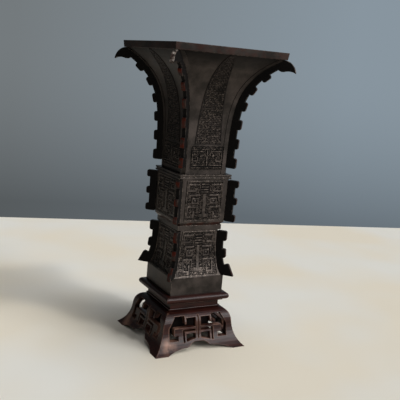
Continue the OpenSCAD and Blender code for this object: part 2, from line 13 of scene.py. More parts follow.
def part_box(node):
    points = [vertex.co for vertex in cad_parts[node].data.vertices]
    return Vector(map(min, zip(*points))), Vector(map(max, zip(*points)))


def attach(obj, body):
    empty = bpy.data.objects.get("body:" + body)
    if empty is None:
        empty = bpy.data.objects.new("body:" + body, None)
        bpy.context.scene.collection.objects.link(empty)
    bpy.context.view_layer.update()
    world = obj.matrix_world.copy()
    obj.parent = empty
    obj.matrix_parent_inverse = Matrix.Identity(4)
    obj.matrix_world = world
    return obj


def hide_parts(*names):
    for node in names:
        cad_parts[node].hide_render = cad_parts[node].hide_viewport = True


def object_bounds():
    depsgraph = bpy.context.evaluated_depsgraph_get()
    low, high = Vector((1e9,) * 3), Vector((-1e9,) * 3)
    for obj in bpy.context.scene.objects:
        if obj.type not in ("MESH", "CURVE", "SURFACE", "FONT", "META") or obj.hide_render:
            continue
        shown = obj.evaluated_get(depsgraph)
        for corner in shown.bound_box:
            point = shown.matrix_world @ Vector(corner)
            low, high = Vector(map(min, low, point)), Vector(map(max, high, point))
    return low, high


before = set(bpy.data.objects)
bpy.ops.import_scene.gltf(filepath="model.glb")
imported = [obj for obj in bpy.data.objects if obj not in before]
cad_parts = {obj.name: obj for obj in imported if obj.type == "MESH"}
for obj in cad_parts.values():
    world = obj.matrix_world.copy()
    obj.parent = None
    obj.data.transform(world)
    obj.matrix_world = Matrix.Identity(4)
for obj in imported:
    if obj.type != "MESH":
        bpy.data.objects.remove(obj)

bl_info = {
    "name": "Square bronze zun on a stand",
    "version": (1, 0, 0),
    "blender": (4, 5, 0),
    "location": "View3D > Sidebar > Zun",
    "description": "Dresses the vessel's castings, carves its panels, finishes the stand and sets the stage",
    "category": "Object",
}

MM = 0.001
QUARTER = math.pi / 2
CAD_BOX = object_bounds()
SIDES = ("front", "right", "back", "left")
CORNERS = ("front_left", "front_right", "back_right", "back_left")

# Heights of the castings, read from the frame
LIP_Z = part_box("mouth_lip")[0][2]
NECK_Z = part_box("belly_shell")[1][2]
SHOULDER_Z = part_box("neck_shell")[0][2]
DRUM_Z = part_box("floor_plate")[0][2]
BELLY_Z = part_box("belly_shell")[0][2]
FOOT_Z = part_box("foot_flange_front_left")[0][2]

# How close two corners lie that are one: in the solids, in their joined faces and in a rounding
SOLID_GAP = 0.002 * MM
FACE_GAP = 0.03 * MM
ROUND_GAP = 0.003 * MM
# What lies this close to a cut is on it
CUT_GAP = 0.001 * MM

# Faces that meet at less than these angles are one flat face, or are shaded as one
FLAT_ANGLE = math.radians(0.3)
SMOOTH_ANGLE = math.radians(32)
# Edges sharper than the first are rounded, and hollow ones deeper than the second belong to a notch
SHARP_ANGLE = math.radians(28)
NOTCH_ANGLE = math.radians(34.4)
# A tooth's corners lie between these angles, and the points of a hook and a spur do not
TOOTH_ANGLES = (math.radians(60), math.radians(100))
# From these shares of its direction on, a face looks outward or broadside, and an edge runs across
LOOKS_OUT = 0.3
LOOKS_BROAD = 0.9
RUNS_ACROSS = 0.95


def linear(hex_colour):
    """An sRGB hex colour as linear RGBA."""
    channels = [int(hex_colour[i:i + 2], 16) / 255 for i in (1, 3, 5)]
    return [c / 12.92 if c <= 0.04045 else ((c + 0.055) / 1.055) ** 2.4 for c in channels] + [1.0]


def colour(name, description, hex_colour):
    """A colour property with its default."""
    return FloatVectorProperty(name=name, description=description, subtype="COLOR", size=4,
                               min=0, max=1, default=linear(hex_colour))


def length(name, description, millimetres):
    """A length property with its default."""
    return FloatProperty(name=name, description=description, unit="LENGTH", default=millimetres * MM)


def angle(name, description, degrees):
    """An angle property with its default."""
    return FloatProperty(name=name, description=description, subtype="ANGLE", default=math.radians(degrees))


def share(name, description, default):
    """A property that counts from 0, for none, to 1 and sometimes a little more."""
    return FloatProperty(name=name, description=description, subtype="FACTOR", min=0, soft_max=1,
                         default=default)


class ZunSizes(bpy.types.PropertyGroup):
    """Sizes of the carving, of the worn edges and of the painted shade and highlights."""

    cell: length("Line width", "Width of a carved line and of its gap", 0.6)
    line_rise: length("Line rise", "Height of the fine lines", 0.4)
    mask_rise: length("Mask rise", "Height of a mask over the fine lines", 0.35)
    slope: length("Line slope", "How far the side of a line leans in", 0.1)
    ground: length("Panel ground", "Height of a panel's ground over its casting", 0.1)
    sink: length("Panel sink", "How deep a panel is let into its casting", 0.6)
    back_strip: length("Back strip", "Height of the strips at the back of a panel", 3)
    cast_round: length("Cast edge", "Rounding of the cast bronze edges", 0.45)
    relief_round: length("Relief edge", "Rounding of the shells' and masks' outer edges", 0.25)
    flange_round: length("Flange edge", "Rounding of the long edges of the flanges", 0.5)
    tooth_round: length("Tooth corner", "Rounding of the corners of the flange teeth", 1.9)
    hook_h: length("Hook height", "How far below the lip the hooks begin", 14)
    # Height of the painted shade on the neck under the lip
    lip_shade: length("Lip shade", "Height of the dark grime under the lip", 14)
    moulding_h: length("Moulding height", "Height of the belly's red lower moulding", 1.4)
    neck_end: length("Neck end", "Bare surface at the ends of the neck", 0.2)
    leaf_half: length("Leaf half width", "Half width of the neck leaf at its base", 14.6)
    leaf_line: length("Leaf border", "Width of the raised line round the leaf", 1.2)
    leaf_low: length("Leaf base", "Height of the leaf's base above the shoulder", 30)
    leaf_gap: length("Leaf tip gap", "Bare surface over the leaf's tip", 0.3)
    # Painted shade: the leaf's lines are left darker close under the lip
    leaf_fade: length("Leaf fade", "Height under the lip over which the leaf's lines lose their shine", 45)
    panel_half: length("Neck panel half width", "Half width of the panel under the leaf", 18.6)
    panel_low: length("Neck panel base", "Height of that panel above the shoulder", 4.4)
    panel_h: length("Neck panel height", "Height of the panel under the leaf", 23.8)
    border_w: length("Border width", "Width of the strip along the neck's corners", 4.4)
    border_rise: length("Border rise", "How far that strip stands out", 0.5)
    border_in: length("Border inset", "How far that strip keeps from the corner", 3)
    frame_line: length("Frame line", "Width of the solid frame round a mask", 1.2)
    ground_gap: length("Ground gap", "Gap between a frame and its fine lines", 0.35)
    belly_w: length("Belly panel", "Width of the framed panel on the belly", 41)
    belly_gap: length("Belly gap", "Bare strip above and below the belly panel", 1.6)
    foot_w: length("Foot panel", "Width of the framed panel on the foot at its top", 37)
    foot_spread: length("Foot panel spread", "How much wider that panel is below, on each side", 5.2)
    foot_low: length("Foot panel base", "Height of the foot panel above the plinth", 0.7)
    foot_gap: length("Foot gap", "Bare strip between the foot panel and the belly", 6)
    pupil_half: length("Pupil half width", "Half width of a mask's domed pupil", 1.9)
    pupil_rise: length("Pupil half height", "Half height of a mask's domed pupil", 1.3)
    wood_round: length("Wood edge", "Rounding of the hardwood edges", 0.24)
    wood_wear: length("Wood wear", "Width of the rubbed strip along the openwork", 0.9)
    wood_net: length("Wood net", "Mesh of the net that carries the wear", 0.9)
    # The rubbed patch on a leg is a painted highlight
    leg_highlight_x: length("Leg wear", "Distance of a leg's rubbed patch from the middle", 34)
    leg_highlight_z: length("Leg wear height", "Height of the rubbed patch on a leg", 7)
    leg_highlight_r: length("Leg wear reach", "Reach of the rubbed patch on a leg", 10)


class ZunWear(bpy.types.PropertyGroup):
    """How rubbed, grimy and red the surfaces are, and how much shade and highlight is painted on them."""

    line: share("Line wear", "Wear on the carved lines", 0.7)
    line_side: share("Line side wear", "Wear on the sloping sides of the lines", 0.2)
    line_side_grime: share("Line side grime", "Grime on the sloping sides of the lines", 0.5)
    strip_grime: share("Leaf border grime", "Grime on the raised line round a leaf", 0.6)
    mask: share("Mask wear", "Wear on the masks of the belly and the foot", 0.2)
    lip: share("Lip wear", "Wear left on the edges of the lip", 0.3)
    lip_grime: share("Lip grime", "Grime on the lip", 0.35)
    lip_red: share("Lip red", "Red patina on the lip", 0.2)
    # How dark the painted shade on the neck right under the lip is
    neck_painted_shade: share("Neck grime", "Grime on the neck right under the lip", 0.8)
    moulding_red: share("Moulding red", "Red patina on the belly's lower moulding", 0.6)
    flange: share("Flange wear", "Wear left on the edges of the flanges", 0.3)
    flange_grime: share("Flange grime", "Grime on the narrow faces of the flanges", 0.3)
    # Painted shade in the notches and on the broad sides of the flanges
    notch_painted_shade: share("Notch grime", "Grime in the notches and on the broad sides", 0.9)
    tooth_red: share("Tooth red", "Red patina on the ends of the flange teeth", 0.35)
    handled_red: share("Handled tooth red", "Red patina on the teeth of the most handled corner", 1.0)
    # Past 1 the wear paints a glint of pale bare metal on the hook ends, partly real wear
    hook: share("Hook wear", "Wear on the ends of the hooks, where the metal is bare past 1", 2.0)
    hook_red: share("Hook red", "Red patina on the ends of the hooks", 0.2)
    # How bright the painted highlight on a leg is
    leg: share("Leg patch wear", "Wear in the middle of the rubbed patch on a leg", 2.0)


class ZunColours(bpy.types.PropertyGroup):
    """Colours of the finishes."""

    patina: colour("Patina", "Dark brown of the patinated bronze", "#433c38")
    patina_dark: colour("Dark patina", "Darkest mottling of the patina", "#2c2825")
    # Also the colour of the painted shade under the lip and on the flanges
    grime_and_shade: colour("Grime", "Dark filling in the carving", "#0e0d0d")
    worn: colour("Worn bronze", "Lighter brown where edges are rubbed", "#7a6e65")
    # Painted highlight: the glint on the hook ends, partly bare worn metal
    bare_glint: colour("Bare bronze", "Pale metal on the ends of the hooks", "#c2b8ae")
    red: colour("Red patina", "Dark red on the outer edges of the flanges", "#4a1d13")
    wood: colour("Hardwood", "Reddish brown of the stand", "#361711")
    wood_dark: colour("Dark grain", "Dark lines of the grain", "#190a08")
    # Also the colour of the painted highlight on the legs
    wood_worn_and_highlight: colour("Worn hardwood", "Lighter wood on rubbed edges", "#94705f")
    # Painted shade: the lining's black stands partly for the shade inside the stand
    lining: colour("Lining", "Black stain inside the stand", "#120b09")
    floor: colour("Floor", "Pale floor", "#e4e2da")
    floor_warm: colour("Warm floor", "Creamier parts of the floor", "#e5ddcc")
    floor_thrown: colour("Thrown light", "What the floor throws back on the object", "#a9a7a1")
    wall: colour("Background", "Plain grey background at the right", "#88959f")
    wall_left: colour("Left background", "Background at the left, a more neutral grey", "#747a7d")
    wall_dark: colour("Dark side", "Background far to the left", "#2c3033")


class ZunStage(bpy.types.PropertyGroup):
    """Camera, floor and light."""

    azimuth: angle("Azimuth", "Side the camera stands on", -29.3)
    pitch: angle("Pitch", "How far the camera looks down", 11.3)
    roll: angle("Roll", "Turn of the camera about its view", 5.1)
    distance: length("Distance", "From the axis back to the camera", 673.5)
    aside: length("Aside", "How far the camera stands to the right", 9.6)
    height: length("Height", "Height of the camera", 281)
    focal: FloatProperty(name="Focal length", description="In millimetres on a 36 mm sensor", default=60.2)
    floor_depth: length("Floor depth", "Floor behind the axis", 501)
    floor_reach: length("Floor reach", "Floor to each side of the axis and before it", 4000)
    floor_slant: angle("Floor slant", "Turn of the floor's far edge", 15)
    key_light: FloatProperty(name="Key light", description="Watts per square metre", default=0.6)
    top_light: FloatProperty(name="Overhead light", description="Watts per square metre", default=1.27)
    side_light: FloatProperty(name="Side light", description="Watts per square metre", default=2.4)
    ambient: share("Ambient", "Strength of the light from all round", 0.035)


# Mesh helpers

def finish_piece(name, mesh, material, body):
    """Makes an object of a mesh, gives it its finish and lets it ride on its body."""
    mesh.shade_smooth()
    mesh.set_sharp_from_angle(angle=SMOOTH_ANGLE)
    mesh.materials.clear()
    mesh.materials.append(material)
    piece = bpy.data.objects.new(name, mesh)
    bpy.context.scene.collection.objects.link(piece)
    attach(piece, body)
    return piece


def put_on(node_name, mesh, material, body):
    """Lets a dressed mesh stand for its CAD node."""
    piece = finish_piece(node_name + "_dressed", mesh, material, body)
    weighted = piece.modifiers.new("flat faces stay flat", "WEIGHTED_NORMAL")
    weighted.keep_sharp = True
    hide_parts(node_name)


def paint_node(node_name, material):
    """Gives a CAD node that stays as it is a finish."""
    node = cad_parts[node_name]
    node.data.materials.clear()
    node.data.materials.append(material)


def merge(bm, gap):
    """Joins the corners of a mesh that lie this close together."""
    bmesh.ops.remove_doubles(bm, verts=bm.verts[:], dist=gap)


def copied(node_name):
    """A merged copy of a CAD node's mesh, with its flat faces joined."""
    bm = bmesh.new()
    bm.from_mesh(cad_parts[node_name].data)
    merge(bm, SOLID_GAP)
    bmesh.ops.dissolve_limit(bm, angle_limit=FLAT_ANGLE, verts=bm.verts[:], edges=bm.edges[:])
    merge(bm, FACE_GAP)
    return bm


def looks_out(face, edge):
    """True if a face beside an edge looks away from the axis."""
    outward = (edge.verts[0].co + edge.verts[1].co).xy.normalized()
    return face.normal.xy.dot(outward) > LOOKS_OUT


def sharp_edges(bm, outer_only):
    """Edges that stick out sharply, on all sides or only on those that look away from the axis."""
    edges = [edge for edge in bm.edges
             if edge.is_manifold and edge.is_convex and edge.calc_face_angle() > SHARP_ANGLE]
    if outer_only:
        edges = [edge for edge in edges if any(looks_out(face, edge) for face in edge.link_faces)]
    return edges


def round_edges(bm, edges, radius, segments=2):
    """Rounds edges, and returns the faces of the rounding."""
    made = bmesh.ops.bevel(bm, geom=edges, offset=radius, offset_type="OFFSET", affect="EDGES",
                           segments=segments, profile=0.5, material=-1, clamp_overlap=False)
    return made["faces"]


def cut(bm, faces, spot, axis):
    """Cuts faces along a plane, and returns all the faces that are there then."""
    geom = faces + list(dict.fromkeys(edge for face in faces for edge in face.edges))
    geom += list(dict.fromkeys(vert for face in faces for vert in face.verts))
    made = bmesh.ops.bisect_plane(bm, geom=geom, dist=CUT_GAP, plane_co=spot, plane_no=axis)["geom"]
    return [item for item in made if isinstance(item, bmesh.types.BMFace)]


def marks(bm):
    """The layers that say how worn, grimy and red each face of a casting is, with painted highlights in the
    wear and painted shade in the grime.
    """
    return [bm.faces.layers.float.get(name) or bm.faces.layers.float.new(name)
            for name in ("wear_and_highlight", "grime_and_shade", "red")]


def dress(node_name, rounding, material, body, mark=None, outer_only=False, shape=None):
    """Replaces a CAD node by a copy with rounded edges, whose rounding is marked as worn."""
    bm = copied(node_name)
    if shape:
        shape(bm)
    wear_and_highlight = marks(bm)[0]
    for face in round_edges(bm, sharp_edges(bm, outer_only), rounding):
        face[wear_and_highlight] = 1.0
    merge(bm, ROUND_GAP)
    if mark:
        mark(bm)
    mesh = bpy.data.meshes.new(node_name + "_dressed")
    bm.to_mesh(mesh)
    bm.free()
    put_on(node_name, mesh, material, body)


class FaceProfile:
    """An upright line on a casting's front face, measured along the face from a start height."""

    def __init__(self, node_name, low, high, asides=(0.0,), steps=60):
        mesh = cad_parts[node_name].data
        tree = BVHTree.FromPolygons([v.co for v in mesh.vertices], [p.vertices for p in mesh.polygons])
        self.points = []
        travelled = 0.0
        for step in range(steps + 1):
            height = low + (high - low) * step / steps
            hits = [tree.ray_cast(Vector((aside, 2 * CAD_BOX[0][1], height)), Vector((0, 1, 0)))[0]
                    for aside in asides]
            if None in hits:
                raise RuntimeError(f"{node_name} has no front face at {height:.4f} m")
            deepest = max(hits, key=lambda hit: hit.y)
            if self.points:
                travelled += math.dist((deepest.y, deepest.z), self.points[-1][1:])
            self.points.append((travelled, deepest.y, deepest.z))
        self.length = travelled

    def at(self, along):
        """Point on the face and its outward normal, a distance along it, both as (y, z)."""
        last = len(self.points) - 2
        i = min(last, next((k for k in range(last + 1) if self.points[k + 1][0] >= along), last))
        (t0, y0, z0), (t1, y1, z1) = self.points[i], self.points[i + 1]
        part = (along - t0) / (t1 - t0)
        run = math.dist((y0, z0), (y1, z1))
        return (y0 + (y1 - y0) * part, z0 + (z1 - z0) * part), (-(z1 - z0) / run, (y1 - y0) / run)

    def depth_at(self, z):
        """How far from the axis the face lies at a height."""
        return -min(self.points, key=lambda point: abs(point[2] - z))[1]


# Levels of a carved cell: the ground, a fine line, and a mask or frame that rises above the lines
LOW, LINE, HIGH = range(3)


def carve(columns, rows, half, height, level_of, sizes):
    """A flat panel of cells, each raised to its level, without those whose level is None."""
    rubbed = bpy.context.scene.zun_wear
    bm = bmesh.new()
    wear_and_highlight = bm.faces.layers.float.new("wear_and_highlight")
    grime_and_shade = bm.faces.layers.float.new("grime_and_shade")
    bmesh.ops.create_grid(bm, x_segments=columns, y_segments=rows, size=0.5)
    empty, lines, masks = [], [], []
    for face in bm.faces:
        middle = face.calc_center_median()
        level = level_of(int((middle.x + 0.5) * columns), int((middle.y + 0.5) * rows))
        if level is None:
            empty.append(face)
            continue
        face[grime_and_shade] = 1.0 if level == LOW else 0.0
        face[wear_and_highlight] = 0.0 if level == LOW else rubbed.line
        if level >= LINE:
            lines.append(face)
        if level == HIGH:
            masks.append(face)
    for vert in bm.verts:
        vert.co = (2 * vert.co.x * half, (vert.co.y + 0.5) * height, sizes.ground)
    bmesh.ops.delete(bm, geom=empty, context="FACES")
    for raised, rise in ((lines, sizes.line_rise), (masks, sizes.mask_rise)):
        raise_faces(bm, raised, rise, sizes)
    return bm


def raise_faces(bm, faces, rise, sizes):
    """Lifts faces out of a panel on sloping sides."""
    rubbed = bpy.context.scene.zun_wear
    sides = bmesh.ops.inset_region(bm, faces=faces, thickness=sizes.slope, depth=rise,
                                   use_even_offset=True, use_boundary=True)["faces"]
    for face in sides:
        face[bm.faces.layers.float["grime_and_shade"]] = rubbed.line_side_grime
        face[bm.faces.layers.float["wear_and_highlight"]] = rubbed.line_side


def add_strip(bm, line, width, rise, sizes):
    """A raised line with sloping sides along a row of points, each across and along."""
    steps = len(line) - 1
    made = bmesh.ops.create_grid(bm, x_segments=1, y_segments=steps, size=0.5)["verts"]
    for vert in made:
        i = round((vert.co.y + 0.5) * steps)
        run = (Vector(line[min(i + 1, steps)]) - Vector(line[max(i - 1, 0)])).normalized()
        spot = Vector(line[i]) + Vector((run.y, -run.x)) * vert.co.x * width
        vert.co = (spot.x, spot.y, sizes.ground)
    faces = list(dict.fromkeys(face for vert in made for face in vert.link_faces))
    for face in faces:
        face[bm.faces.layers.float["grime_and_shade"]] = bpy.context.scene.zun_wear.strip_grime
    raise_faces(bm, faces, rise, sizes)


def close_back(bm, sink, strip):
    """Draws the rim of a flat panel back and closes it in short strips, so that the back can be bent."""
    rim = [edge for edge in bm.edges if edge.is_boundary]
    made = bmesh.ops.extrude_edge_only(bm, edges=rim)["geom"]
    back = [item for item in made if isinstance(item, bmesh.types.BMVert)]
    bmesh.ops.translate(bm, verts=back, vec=(0, 0, -sink))
    caps = bmesh.ops.edgenet_fill(bm, edges=[edge for edge in bm.edges if edge.is_boundary])["faces"]
    low = min(vert.co.y for vert in back)
    high = max(vert.co.y for vert in back)
    strips = int((high - low) / strip) + 1
    for i in range(1, strips):
        caps = cut(bm, caps, (0, low + (high - low) * i / strips, 0), (0, 1, 0))


def bend_onto(bm, profile, sink, sizes):
    """Closes the back of a flat carving, drawn as across, along and out, and bends it onto a face."""
    close_back(bm, sink, sizes.back_strip)
    for vert in bm.verts:
        across, along, out = vert.co
        (y, z), (normal_y, normal_z) = profile.at(along)
        vert.co = (across, y + out * normal_y, z + out * normal_z)


def on_four_sides(name, bm):
    """Copies a front panel of the vessel to its four sides, each a piece of its own."""
    for turn, side in enumerate(SIDES):
        mesh = bpy.data.meshes.new(f"{name}_{side}")
        bm.to_mesh(mesh)
        mesh.transform(Matrix.Rotation(QUARTER * turn, 4, "Z"))
        finish_piece(f"{name}_{side}", mesh, finish("bronze"), "vessel")
    bm.free()


# Carved patterns

# Cells along the side of a square spiral, and with the gap beside it
SPIRAL = 5
UNIT = SPIRAL + 1
# A spiral's inner ring is bare but for the cell that leads inward, and the cell before its end is bare too
SPIRAL_LINK = (2, 3)
SPIRAL_END = (1, 4)

# Outlines of the solid masks that the fine lines keep clear of, about the middle of a panel of MASK_SPAN
# by MASK_SPAN, as boxes of low x, high x, low z and high z on the right half
MASK_SPAN = 40
MASK = [(0, 1.7, -13, 7), (0, 5.2, -15.8, -12.6), (6.2, 14.0, -2.8, 3.2), (5.0, 16.6, 5.0, 6.6),
        (15.0, 16.6, 0.4, 6.6), (6.6, 18.6, 15.4, 17.0), (17.0, 18.6, 9.2, 17.0),
        (9.6, 18.6, 9.2, 10.8), (9.6, 11.2, 9.2, 13.2), (6.4, 18.6, -6.6, -5.0),
        (17.0, 18.6, -16.8, -5.0), (10.2, 18.6, -16.8, -15.2), (10.2, 11.8, -16.8, -10.0),
        (6.4, 8.0, -12.0, -5.0)]
MASK_CLEAR = 0.45
SHIELD = [(0, 4.2, 8.4 + 2.5 * i, 9.7 + 2.5 * i) for i in range(4)]
SHIELD_CLEAR = 0.5
EYE_MIDDLE = (10.1, 0.2)

# The right one of the two dragons under a leaf, in millimetres about the middle of their panel
DRAGON = [(0, 1.1, -8, 8), (3.0, 17.0, 6.0, 7.4), (15.6, 17.0, -2.2, 7.4), (9.8, 17.0, -3.6, -2.2),
          (9.8, 11.2, -3.6, 1.0), (3.0, 17.0, -8.0, -6.6), (3.0, 4.4, -8.0, -3.2), (4.8, 8.2, 0.4, 3.8)]
DRAGON_CLEAR = 0.5


def in_spiral(column, row):
    """True on the line of a square spiral in a unit of cells; odd units are turned the other way."""
    flip = (column // UNIT + row // UNIT) % 2
    column, row = column % UNIT, row % UNIT
    if column == SPIRAL or row == SPIRAL:
        return False
    if flip:
        column, row = SPIRAL - 1 - column, SPIRAL - 1 - row
    ring = min(column, row, SPIRAL - 1 - column, SPIRAL - 1 - row)
    return (ring != 1 or (column, row) == SPIRAL_LINK) and (column, row) != SPIRAL_END


def spiral_level(column, row, columns):
    """Level of a cell in a ground of spirals that is mirrored about its middle column."""
    return LINE if in_spiral(abs(column - columns // 2), row) else LOW


def in_boxes(boxes, x, z, margin=0.0):
    """True if a point, folded onto the right half, lies in one of the boxes."""
    return any(box[0] - margin <= abs(x) <= box[1] + margin and box[2] - margin <= z <= box[3] + margin
               for box in boxes)


def framed(level_of, columns, rows):
    """Puts a plain raised line and a gap round a pattern."""
    def level(column, row):
        edge = min(column, row, columns - 1 - column, rows - 1 - row)
        if edge == 0:
            return HIGH
        return LOW if edge == 1 else level_of(column, row)
    return level


def belly_profile(sizes):
    """The belly's front face, just beside its panel."""
    inset = sizes.belly_gap + sizes.frame_line + sizes.ground_gap
    beside = 2 * MM
    return FaceProfile("belly_shell", DRUM_Z + inset, SHOULDER_Z - inset, (sizes.belly_w / 2 + beside,))


def foot_profile(sizes):
    """The foot's front face on both sides of its panel's slanting frame."""
    inset = sizes.frame_line + sizes.ground_gap
    beside = 1.1 * MM
    return FaceProfile("foot_shell", FOOT_Z + sizes.foot_low + inset, BELLY_Z - sizes.foot_gap - inset,
                       (sizes.foot_w / 2 - beside, sizes.foot_w / 2 + beside))


def rub_mask(bm, profile):
    """Marks the faces that stand out of a casting's four sides as rubbed."""
    wear_and_highlight = marks(bm)[0]
    rubbed = bpy.context.scene.zun_wear.mask
    past_end = 2 * MM
    lowest, highest = 0.5 * MM, 1.2 * MM
    low, high = profile.points[0][2] - past_end, profile.points[-1][2] + past_end
    for face in bm.faces:
        middle = face.calc_center_median()
        rise = max(abs(middle.x), abs(middle.y)) - profile.depth_at(middle.z)
        if low < middle.z < high and lowest < rise < highest:
            face[wear_and_highlight] = max(face[wear_and_highlight], rubbed)


def carve_ground(profile, low, high, top_w, spread, sizes):
    """Fine lines inside a framed panel round its solid mask: a ladder over the nose, spirals elsewhere."""
    inset = sizes.frame_line + sizes.ground_gap
    half = top_w / 2 + spread - inset
    columns = 2 * round(half / sizes.cell) + 1
    rows = round(profile.length / sizes.cell)

    def level_of(column, row):
        x = ((column + 0.5) / columns - 0.5) * 2 * half
        z = profile.at((row + 0.5) / rows * profile.length)[0][1]
        fallen = (high - z) / (high - low)
        if abs(x) > top_w / 2 + spread * fallen - inset:
            return None
        place = (x / top_w * MASK_SPAN, (0.5 - fallen) * MASK_SPAN)
        if in_boxes(SHIELD, *place):
            return LINE
        if in_boxes(MASK, *place, MASK_CLEAR) or in_boxes(SHIELD, *place, SHIELD_CLEAR):
            return LOW
        return spiral_level(column, row, columns)

    bm = carve(columns, rows, half, profile.length, level_of, sizes)
    bend_onto(bm, profile, sizes.sink, sizes)
    add_pupils(bm, low, high, top_w, profile, sizes)
    return bm


def add_pupils(bm, low, high, top_w, profile, sizes):
    """Two domed pupils in the eyes of a mask."""
    x = EYE_MIDDLE[0] / MASK_SPAN * top_w
    z = low + (high - low) * (0.5 + EYE_MIDDLE[1] / MASK_SPAN)
    dome = Matrix.Diagonal((sizes.pupil_half, sizes.line_rise + sizes.mask_rise, sizes.pupil_rise, 1))
    for hand in (-1, 1):
        place = Matrix.Translation((hand * x, -profile.depth_at(z), z))
        bmesh.ops.create_uvsphere(bm, u_segments=16, v_segments=10, radius=1, matrix=place @ dome)


# Finishes

def add(tree, kind, inputs=None, **settings):
    """Adds a shader node, sets its settings, and sets its inputs or links them to a socket or a node."""
    made = tree.nodes.new(kind)
    for name, value in settings.items():
        setattr(made, name, value)
    for name, value in (inputs or {}).items():
        if isinstance(value, bpy.types.Node):
            value = next(socket for socket in value.outputs if socket.enabled)
        if isinstance(value, bpy.types.NodeSocket):
            tree.links.new(value, made.inputs[name])
        else:
            made.inputs[name].default_value = value
    return made


def per_mm(millimetres):
    """Texture scale whose features are about this wide."""
    return 1 / (millimetres * MM)


def new_material(name):
    """An empty node material and its tree."""
    material = bpy.data.materials.new(name)
    material.use_nodes = True
    material.node_tree.nodes.clear()
    return material, material.node_tree


def seen_directly(tree):
    """1 for what the camera sees, straight or in a mirror or through glass, and 0 for light thrown back."""
    path = add(tree, "ShaderNodeLightPath").outputs
    seen = add(tree, "ShaderNodeMath", {0: path["Is Camera Ray"], 1: path["Is Glossy Ray"]},
               operation="ADD")
    return add(tree, "ShaderNodeMath", {0: seen, 1: path["Is Transmission Ray"]},
               operation="ADD", use_clamp=True)


def patches(tree, place, mark, millimetres, detail, low, high, most=1.0):
    """How far a mark shows, in patches about this wide."""
    noise = add(tree, "ShaderNodeTexNoise", {
        "Vector": place, "Scale": per_mm(millimetres), "Detail": detail})
    spread = add(tree, "ShaderNodeMapRange", {
        "Value": noise, "From Min": low, "From Max": high, "To Max": most})
    marked = add(tree, "ShaderNodeAttribute", attribute_name=mark).outputs["Fac"]
    return add(tree, "ShaderNodeMath", {0: marked, 1: spread}, operation="MULTIPLY")


def cast_bronze(colours):
    """Cast bronze under an old brown patina: mottled, dull in the carving and in painted shade, rubbed pale
    or red on edges, with a painted glint where the wear is past 1.
    """
    material, tree = new_material("cast_bronze_brown_patina")
    place = add(tree, "ShaderNodeTexCoord").outputs["Object"]

    # The patina's cloudy mottling, and the grime that fills the carving, in a layer that also carries
    # painted shade under the lip and on the flanges
    mottle = add(tree, "ShaderNodeTexNoise", {
        "Vector": place, "Scale": per_mm(16), "Detail": 5.0, "Roughness": 0.62})
    cloudy = add(tree, "ShaderNodeMapRange", {"Value": mottle, "From Min": 0.38, "From Max": 0.62})
    body = add(tree, "ShaderNodeMix", {
        "Factor": cloudy, "A": colours.patina_dark[:], "B": colours.patina[:]}, data_type="RGBA")
    grime_and_shade = add(tree, "ShaderNodeAttribute", attribute_name="grime_and_shade").outputs["Fac"]
    dirty = add(tree, "ShaderNodeMix", {
        "Factor": grime_and_shade, "A": body, "B": colours.grime_and_shade[:]}, data_type="RGBA")

    # Rubbed edges in patches, and a painted glint of pale bare metal where the wear is more than 1
    worn = patches(tree, place, "wear_and_highlight", millimetres=2.6, detail=3.0, low=0.46, high=0.64)
    bright = add(tree, "ShaderNodeMix", {
        "Factor": worn, "A": dirty, "B": colours.worn[:]}, data_type="RGBA")
    past = add(tree, "ShaderNodeMath", {0: worn, 1: 1.0}, operation="SUBTRACT", use_clamp=True)
    with_glint = add(tree, "ShaderNodeMix", {
        "Factor": past, "A": bright, "B": colours.bare_glint[:]}, data_type="RGBA")

    # Spots of red patina
    reddened = patches(tree, place, "red", millimetres=6, detail=4.0, low=0.4, high=0.6)
    final = add(tree, "ShaderNodeMix", {
        "Factor": reddened, "A": with_glint, "B": colours.red[:]}, data_type="RGBA")

    # Duller in the grime and in the painted shade, and shinier where it is rubbed
    rough = add(tree, "ShaderNodeMapRange", {
        "Value": mottle, "From Min": 0.3, "From Max": 0.7, "To Min": 0.34, "To Max": 0.5})
    dull = add(tree, "ShaderNodeMath", {0: grime_and_shade, 1: 0.3, 2: rough}, operation="MULTIPLY_ADD")
    shiny = add(tree, "ShaderNodeMath", {0: worn, 1: -0.12, 2: dull}, operation="MULTIPLY_ADD")

    # The grit of the casting, drawn coarser than real so that it shows
    grit = add(tree, "ShaderNodeTexNoise", {"Vector": place, "Scale": per_mm(1.4), "Detail": 4.0})
    bump = add(tree, "ShaderNodeBump", {"Height": grit, "Strength": 0.16, "Distance": 0.5 * MM})
    shader = add(tree, "ShaderNodeBsdfPrincipled", {
        "Base Color": final, "Metallic": 0.55, "Roughness": shiny,
        "Specular IOR Level": 0.1, "Normal": bump})
    add(tree, "ShaderNodeOutputMaterial", {"Surface": shader})
    return material


